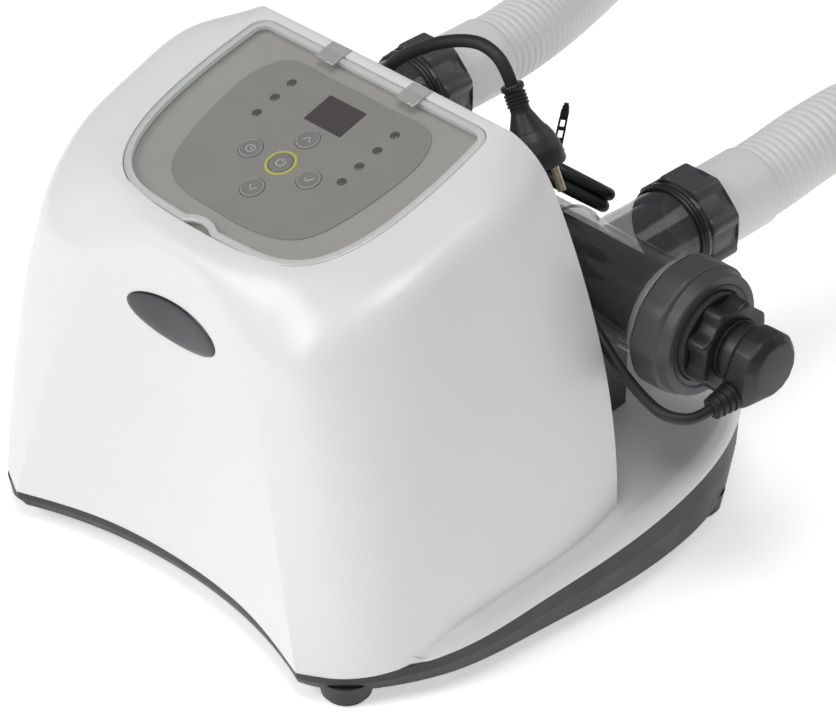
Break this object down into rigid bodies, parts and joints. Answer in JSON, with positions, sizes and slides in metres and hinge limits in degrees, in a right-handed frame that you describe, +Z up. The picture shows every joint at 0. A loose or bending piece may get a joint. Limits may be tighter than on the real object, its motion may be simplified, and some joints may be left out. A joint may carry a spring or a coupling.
{
  "type": "salt chlorine generator",
  "caption": "Domed control housing on a tray, with a clear electrolytic cell across its rear deck, two ribbed hoses with union nuts, a hinged clear lid over the buttons, and a mains lead",
  "frame": {"origin": "middle of the footprint on the floor", "axes": "+Z up, +X right as seen facing the control panel, -Y towards that person"},
  "size_m": [0.8358, 0.8937, 0.2879],
  "materials": {
    "housing_white": "moulded, slightly glossy",
    "dark_plastic": "moulded, satin",
    "black_plastic": "moulded, satin",
    "black_rubber": "extruded, satin",
    "panel_grey": "moulded, fine texture",
    "overlay_grey": "printed film",
    "button_plastic": "moulded",
    "lens": "moulded, tinted",
    "display": "tinted window",
    "board": "coated glass-epoxy board",
    "steel": "zinc plated",
    "aluminium": "extruded",
    "capacitor": "sleeved",
    "transformer_tape": "wound tape",
    "clear_lid": "clear moulded plastic",
    "clip_grey": "translucent moulding",
    "badge_blue": "domed label, blank",
    "clear_tube": "smoked clear moulding",
    "titanium": "coated titanium",
    "paddle_red": "moulded",
    "hose_white": "ribbed blow-moulded hose",
    "brass": "plain",
    "standoff_nylon": "moulded"
  },
  "bodies": {
    "root": {"upper_housing": "housing_white", "base_tray": "dark_plastic", "foot_pads": "black_rubber", "tray_screws": "steel", "control_panel": "panel_grey", "panel_overlay": "overlay_grey", "indicator_lenses": "lens", "display_window": "display", "control_board": "board", "display_module": "black_plastic", "key_switches": "black_plastic", "board_standoffs": "standoff_nylon", "board_screws": "steel", "lid_pins": "steel", "badge": "badge_blue", "transformer": "transformer_tape", "transformer_clamp": "steel", "transformer_bolt": "steel", "power_board": "board", "heat_sink": "aluminium", "capacitors": "capacitor", "terminal_block": "black_plastic", "cell_housing": "clear_tube", "gaskets": "black_rubber", "electrode_holder": "dark_plastic", "flow_sensor_body": "dark_plastic", "electrode_plates": "titanium", "cell_cradles": "dark_plastic", "cell_connector": "black_plastic", "connector_relief": "black_rubber", "hose_cuff_right": "hose_white", "hose_right": "hose_white", "hose_end_cuff_right": "hose_white", "hose_cuff_left": "hose_white", "hose_left": "hose_white", "hose_end_cuff_left": "hose_white", "cell_cable_gland": "black_plastic", "cord_gland": "black_plastic", "cell_cable": "black_rubber", "cord_hank": "black_rubber", "mains_plug": "black_plastic", "plug_pins": "brass", "cable_tie": "black_plastic", "power_cord_gland_side": "black_rubber", "power_cord_plug_side": "black_rubber"},
    "lid": {"clear_lid": "clear_lid", "lid_clips": "clip_grey"},
    "button_rear": {"button_rear": "button_plastic"},
    "button_left": {"button_left": "button_plastic"},
    "button_right": {"button_right": "button_plastic"},
    "button_front": {"button_front": "button_plastic"},
    "button_power": {"button_power": "button_plastic"},
    "nut_right": {"hose_nut_right": "dark_plastic"},
    "nut_left": {"hose_nut_left": "dark_plastic"},
    "collar_right": {"cell_collar": "dark_plastic"},
    "collar_left": {"sensor_collar": "dark_plastic"},
    "lock_ring": {"lock_ring": "dark_plastic"},
    "paddle": {"flow_paddle": "paddle_red"},
    "end_nut_right": {"hose_end_nut_right": "dark_plastic"},
    "end_nut_left": {"hose_end_nut_left": "dark_plastic"}
  },
  "joints": [
    {"name": "lid_hinge", "type": "hinge", "parent": "root", "child": "lid", "pos_m": [0, 0.00787, 0.26926], "axis": [-1, 0, 0], "range_deg": [0, 105]},
    {"name": "press_rear", "type": "slide", "parent": "root", "child": "button_rear", "axis": [0, 0.2813, -0.9596], "range_m": [0, 0.0006], "stiffness_N_per_m": 800},
    {"name": "press_left", "type": "slide", "parent": "root", "child": "button_left", "axis": [0, 0.2813, -0.9596], "range_m": [0, 0.0006], "stiffness_N_per_m": 800},
    {"name": "press_right", "type": "slide", "parent": "root", "child": "button_right", "axis": [0, 0.2813, -0.9596], "range_m": [0, 0.0006], "stiffness_N_per_m": 800},
    {"name": "press_front", "type": "slide", "parent": "root", "child": "button_front", "axis": [0, 0.2813, -0.9596], "range_m": [0, 0.0006], "stiffness_N_per_m": 800},
    {"name": "press_power", "type": "slide", "parent": "root", "child": "button_power", "axis": [0, 0.2813, -0.9596], "range_m": [0, 0.0006], "stiffness_N_per_m": 800},
    {"name": "hose_nut_right_turn", "type": "hinge", "parent": "root", "child": "nut_right", "pos_m": [0.104, 0.148, 0.1575], "axis": [0, 1, 0], "continuous": true},
    {"name": "hose_nut_left_turn", "type": "hinge", "parent": "root", "child": "nut_left", "pos_m": [-0.104, 0.148, 0.1575], "axis": [0, 1, 0], "continuous": true},
    {"name": "cell_collar_turn", "type": "hinge", "parent": "root", "child": "collar_right", "pos_m": [0.1775, 0.07, 0.1575], "axis": [1, 0, 0], "continuous": true},
    {"name": "sensor_collar_turn", "type": "hinge", "parent": "root", "child": "collar_left", "pos_m": [-0.1775, 0.07, 0.1575], "axis": [1, 0, 0], "continuous": true},
    {"name": "lock_ring_turn", "type": "hinge", "parent": "root", "child": "lock_ring", "pos_m": [0.2, 0.07, 0.1575], "axis": [1, 0, 0], "continuous": true},
    {"name": "paddle_swing", "type": "hinge", "parent": "root", "child": "paddle", "pos_m": [-0.132, 0.07, 0.173], "axis": [0, -1, 0], "range_deg": [0, 25]},
    {"name": "end_nut_right_turn", "type": "hinge", "parent": "root", "child": "end_nut_right", "pos_m": [0.48913, 0.21266, 0.0315], "axis": [-0.6026, -0.798, 0], "continuous": true},
    {"name": "end_nut_left_turn", "type": "hinge", "parent": "root", "child": "end_nut_left", "pos_m": [0.55264, 0.6137, 0.0315], "axis": [0.8799, -0.4751, 0], "continuous": true}
  ]
}
